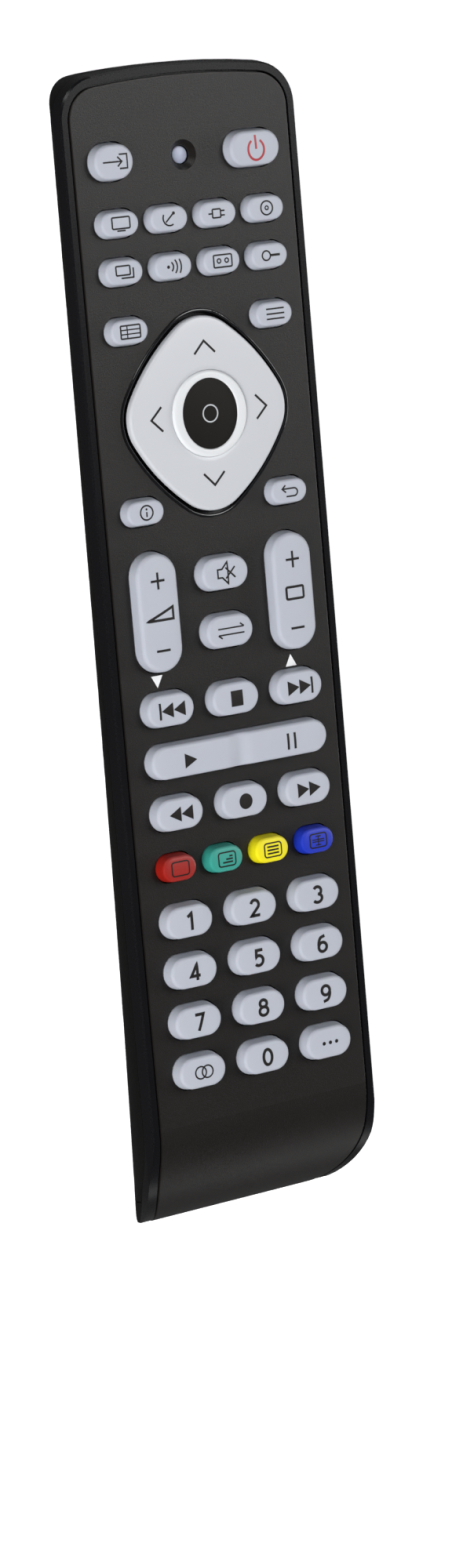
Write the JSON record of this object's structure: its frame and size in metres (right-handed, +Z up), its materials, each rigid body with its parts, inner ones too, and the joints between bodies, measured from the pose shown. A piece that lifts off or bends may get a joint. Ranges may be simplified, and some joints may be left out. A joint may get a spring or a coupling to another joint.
{
  "type": "universal remote control",
  "caption": "Slim handheld remote control: wedge-shaped body rolled at the battery end, tilting direction pad, rocking and push keys, hinged battery cover.",
  "frame": {"origin": "middle of the body's footprint, on the surface its flat back rests on", "axes": "+Z up, out of the resting surface; +Y along the body to the infra-red end; +X to the right, seen from the keys with the infra-red end up"},
  "size_m": [0.052, 0.2234, 0.0212],
  "materials": {
    "front_rim": "satin black",
    "face_plate": "fine-grained dark grey",
    "bezel": "polished black",
    "rear_shell": "fine-textured black",
    "key_grey": "matt light grey silicone",
    "pad_white": "satin white",
    "key_red": "matt red silicone",
    "key_green": "matt green silicone",
    "key_yellow": "matt yellow silicone",
    "key_blue": "matt blue silicone",
    "ok_black": "dark satin print",
    "ir_window": "dark red smoked",
    "lamp": "clear diffusing",
    "board": "green solder mask",
    "mat": "translucent silicone",
    "chip": "moulded black",
    "cell": "printed film",
    "spring_steel": "nickel-plated",
    "screw": "zinc-plated",
    "ir_led": "clear bluish"
  },
  "bodies": {
    "case": {"front_case": "front_rim", "face_plate": "face_plate", "pad_bezel": "bezel", "rear_case": "rear_shell", "ir_window": "ir_window", "circuit_board": "board", "keypad_mat": "mat", "indicator_lamp": "lamp", "ir_lamps": "ir_led", "controller_chip": "chip", "battery_cells": "cell", "contact_plates": "spring_steel", "leaf_springs": "spring_steel", "case_screws": "screw"},
    "battery_cover": {"battery_cover": "rear_shell"},
    "pad_pivots": {"pad_pivots": "mat"},
    "direction_pad": {"direction_pad": "pad_white"},
    "ok_key": {"ok_key": "pad_white", "ok_disc": "ok_black"},
    "volume_key": {"volume_key": "key_grey"},
    "channel_key": {"channel_key": "key_grey"},
    "play_pause_key": {"play_pause_key": "key_grey"},
    "back_key": {"back_key": "key_grey"},
    "blue_key": {"blue_key": "key_blue"},
    "dash_key": {"dash_key": "key_grey"},
    "digit_0_key": {"digit_0_key": "key_grey"},
    "digit_1_key": {"digit_1_key": "key_grey"},
    "digit_2_key": {"digit_2_key": "key_grey"},
    "digit_3_key": {"digit_3_key": "key_grey"},
    "digit_4_key": {"digit_4_key": "key_grey"},
    "digit_5_key": {"digit_5_key": "key_grey"},
    "digit_6_key": {"digit_6_key": "key_grey"},
    "digit_7_key": {"digit_7_key": "key_grey"},
    "digit_8_key": {"digit_8_key": "key_grey"},
    "digit_9_key": {"digit_9_key": "key_grey"},
    "forward_key": {"forward_key": "key_grey"},
    "green_key": {"green_key": "key_green"},
    "guide_key": {"guide_key": "key_grey"},
    "info_key": {"info_key": "key_grey"},
    "input_key": {"input_key": "key_grey"},
    "last_key": {"last_key": "key_grey"},
    "menu_key": {"menu_key": "key_grey"},
    "mute_key": {"mute_key": "key_grey"},
    "next_key": {"next_key": "key_grey"},
    "power_key": {"power_key": "key_grey"},
    "previous_key": {"previous_key": "key_grey"},
    "record_key": {"record_key": "key_grey"},
    "red_key": {"red_key": "key_red"},
    "rewind_key": {"rewind_key": "key_grey"},
    "sound_key": {"sound_key": "key_grey"},
    "source_key_1": {"source_key_1": "key_grey"},
    "source_key_2": {"source_key_2": "key_grey"},
    "source_key_3": {"source_key_3": "key_grey"},
    "source_key_4": {"source_key_4": "key_grey"},
    "source_key_5": {"source_key_5": "key_grey"},
    "source_key_6": {"source_key_6": "key_grey"},
    "source_key_7": {"source_key_7": "key_grey"},
    "source_key_8": {"source_key_8": "key_grey"},
    "stop_key": {"stop_key": "key_grey"},
    "yellow_key": {"yellow_key": "key_yellow"}
  },
  "joints": [
    {"name": "back_key_press", "type": "slide", "parent": "case", "child": "back_key", "axis": [0, -0.0431, -0.9991], "range_m": [0, 0.0007], "stiffness_N_per_m": 400},
    {"name": "blue_key_press", "type": "slide", "parent": "case", "child": "blue_key", "axis": [0, -0.0431, -0.9991], "range_m": [0, 0.0007], "stiffness_N_per_m": 400},
    {"name": "dash_key_press", "type": "slide", "parent": "case", "child": "dash_key", "axis": [0, -0.0431, -0.9991], "range_m": [0, 0.0007], "stiffness_N_per_m": 400},
    {"name": "digit_0_key_press", "type": "slide", "parent": "case", "child": "digit_0_key", "axis": [0, -0.0431, -0.9991], "range_m": [0, 0.0007], "stiffness_N_per_m": 400},
    {"name": "digit_1_key_press", "type": "slide", "parent": "case", "child": "digit_1_key", "axis": [0, -0.0431, -0.9991], "range_m": [0, 0.0007], "stiffness_N_per_m": 400},
    {"name": "digit_2_key_press", "type": "slide", "parent": "case", "child": "digit_2_key", "axis": [0, -0.0431, -0.9991], "range_m": [0, 0.0007], "stiffness_N_per_m": 400},
    {"name": "digit_3_key_press", "type": "slide", "parent": "case", "child": "digit_3_key", "axis": [0, -0.0431, -0.9991], "range_m": [0, 0.0007], "stiffness_N_per_m": 400},
    {"name": "digit_4_key_press", "type": "slide", "parent": "case", "child": "digit_4_key", "axis": [0, -0.0431, -0.9991], "range_m": [0, 0.0007], "stiffness_N_per_m": 400},
    {"name": "digit_5_key_press", "type": "slide", "parent": "case", "child": "digit_5_key", "axis": [0, -0.0431, -0.9991], "range_m": [0, 0.0007], "stiffness_N_per_m": 400},
    {"name": "digit_6_key_press", "type": "slide", "parent": "case", "child": "digit_6_key", "axis": [0, -0.0431, -0.9991], "range_m": [0, 0.0007], "stiffness_N_per_m": 400},
    {"name": "digit_7_key_press", "type": "slide", "parent": "case", "child": "digit_7_key", "axis": [0, -0.0431, -0.9991], "range_m": [0, 0.0007], "stiffness_N_per_m": 400},
    {"name": "digit_8_key_press", "type": "slide", "parent": "case", "child": "digit_8_key", "axis": [0, -0.0431, -0.9991], "range_m": [0, 0.0007], "stiffness_N_per_m": 400},
    {"name": "digit_9_key_press", "type": "slide", "parent": "case", "child": "digit_9_key", "axis": [0, -0.0431, -0.9991], "range_m": [0, 0.0007], "stiffness_N_per_m": 400},
    {"name": "forward_key_press", "type": "slide", "parent": "case", "child": "forward_key", "axis": [0, -0.0431, -0.9991], "range_m": [0, 0.0007], "stiffness_N_per_m": 400},
    {"name": "green_key_press", "type": "slide", "parent": "case", "child": "green_key", "axis": [0, -0.0431, -0.9991], "range_m": [0, 0.0007], "stiffness_N_per_m": 400},
    {"name": "guide_key_press", "type": "slide", "parent": "case", "child": "guide_key", "axis": [0, -0.0431, -0.9991], "range_m": [0, 0.0007], "stiffness_N_per_m": 400},
    {"name": "info_key_press", "type": "slide", "parent": "case", "child": "info_key", "axis": [0, -0.0431, -0.9991], "range_m": [0, 0.0007], "stiffness_N_per_m": 400},
    {"name": "input_key_press", "type": "slide", "parent": "case", "child": "input_key", "axis": [0, -0.0431, -0.9991], "range_m": [0, 0.0007], "stiffness_N_per_m": 400},
    {"name": "last_key_press", "type": "slide", "parent": "case", "child": "last_key", "axis": [0, -0.0431, -0.9991], "range_m": [0, 0.0007], "stiffness_N_per_m": 400},
    {"name": "menu_key_press", "type": "slide", "parent": "case", "child": "menu_key", "axis": [0, -0.0431, -0.9991], "range_m": [0, 0.0007], "stiffness_N_per_m": 400},
    {"name": "mute_key_press", "type": "slide", "parent": "case", "child": "mute_key", "axis": [0, -0.0431, -0.9991], "range_m": [0, 0.0007], "stiffness_N_per_m": 400},
    {"name": "next_key_press", "type": "slide", "parent": "case", "child": "next_key", "axis": [0, -0.0431, -0.9991], "range_m": [0, 0.0007], "stiffness_N_per_m": 400},
    {"name": "power_key_press", "type": "slide", "parent": "case", "child": "power_key", "axis": [0, -0.0431, -0.9991], "range_m": [0, 0.0007], "stiffness_N_per_m": 400},
    {"name": "previous_key_press", "type": "slide", "parent": "case", "child": "previous_key", "axis": [0, -0.0431, -0.9991], "range_m": [0, 0.0007], "stiffness_N_per_m": 400},
    {"name": "record_key_press", "type": "slide", "parent": "case", "child": "record_key", "axis": [0, -0.0431, -0.9991], "range_m": [0, 0.0007], "stiffness_N_per_m": 400},
    {"name": "red_key_press", "type": "slide", "parent": "case", "child": "red_key", "axis": [0, -0.0431, -0.9991], "range_m": [0, 0.0007], "stiffness_N_per_m": 400},
    {"name": "rewind_key_press", "type": "slide", "parent": "case", "child": "rewind_key", "axis": [0, -0.0431, -0.9991], "range_m": [0, 0.0007], "stiffness_N_per_m": 400},
    {"name": "sound_key_press", "type": "slide", "parent": "case", "child": "sound_key", "axis": [0, -0.0431, -0.9991], "range_m": [0, 0.0007], "stiffness_N_per_m": 400},
    {"name": "source_key_1_press", "type": "slide", "parent": "case", "child": "source_key_1", "axis": [0, -0.0431, -0.9991], "range_m": [0, 0.0007], "stiffness_N_per_m": 400},
    {"name": "source_key_2_press", "type": "slide", "parent": "case", "child": "source_key_2", "axis": [0, -0.0431, -0.9991], "range_m": [0, 0.0007], "stiffness_N_per_m": 400},
    {"name": "source_key_3_press", "type": "slide", "parent": "case", "child": "source_key_3", "axis": [0, -0.0431, -0.9991], "range_m": [0, 0.0007], "stiffness_N_per_m": 400},
    {"name": "source_key_4_press", "type": "slide", "parent": "case", "child": "source_key_4", "axis": [0, -0.0431, -0.9991], "range_m": [0, 0.0007], "stiffness_N_per_m": 400},
    {"name": "source_key_5_press", "type": "slide", "parent": "case", "child": "source_key_5", "axis": [0, -0.0431, -0.9991], "range_m": [0, 0.0007], "stiffness_N_per_m": 400},
    {"name": "source_key_6_press", "type": "slide", "parent": "case", "child": "source_key_6", "axis": [0, -0.0431, -0.9991], "range_m": [0, 0.0007], "stiffness_N_per_m": 400},
    {"name": "source_key_7_press", "type": "slide", "parent": "case", "child": "source_key_7", "axis": [0, -0.0431, -0.9991], "range_m": [0, 0.0007], "stiffness_N_per_m": 400},
    {"name": "source_key_8_press", "type": "slide", "parent": "case", "child": "source_key_8", "axis": [0, -0.0431, -0.9991], "range_m": [0, 0.0007], "stiffness_N_per_m": 400},
    {"name": "stop_key_press", "type": "slide", "parent": "case", "child": "stop_key", "axis": [0, -0.0431, -0.9991], "range_m": [0, 0.0007], "stiffness_N_per_m": 400},
    {"name": "yellow_key_press", "type": "slide", "parent": "case", "child": "yellow_key", "axis": [0, -0.0431, -0.9991], "range_m": [0, 0.0007], "stiffness_N_per_m": 400},
    {"name": "ok_key_press", "type": "slide", "parent": "case", "child": "ok_key", "axis": [0, -0.0431, -0.9991], "range_m": [0, 0.0007], "stiffness_N_per_m": 400},
    {"name": "volume_key_rock", "type": "hinge", "parent": "case", "child": "volume_key", "pos_m": [-0.0151, 0.00993, 0.01127], "axis": [1, 0, 0], "range_deg": [-2.5, 2.5], "stiffness_Nm_per_rad": 0.3},
    {"name": "channel_key_rock", "type": "hinge", "parent": "case", "child": "channel_key", "pos_m": [0.0151, 0.00993, 0.01127], "axis": [1, 0, 0], "range_deg": [-2.5, 2.5], "stiffness_Nm_per_rad": 0.3},
    {"name": "play_pause_key_rock", "type": "hinge", "parent": "case", "child": "play_pause_key", "pos_m": [0, -0.01854, 0.01254], "axis": [0, 0.9991, -0.0431], "range_deg": [-1.5, 1.5], "stiffness_Nm_per_rad": 0.5},
    {"name": "pad_tilt_up_down", "type": "hinge", "parent": "case", "child": "pad_pivots", "pos_m": [0, 0.04574, 0.00942], "axis": [1, 0, 0], "range_deg": [-1.6, 1.6], "stiffness_Nm_per_rad": 0.4},
    {"name": "pad_tilt_left_right", "type": "hinge", "parent": "pad_pivots", "child": "direction_pad", "pos_m": [0, 0.04574, 0.00942], "axis": [0, 0.9991, -0.0431], "range_deg": [-1.6, 1.6], "stiffness_Nm_per_rad": 0.4},
    {"name": "battery_cover_hinge", "type": "hinge", "parent": "case", "child": "battery_cover", "pos_m": [0, -0.04676, 0], "axis": [1, 0, 0], "range_deg": [0, 35]}
  ]
}
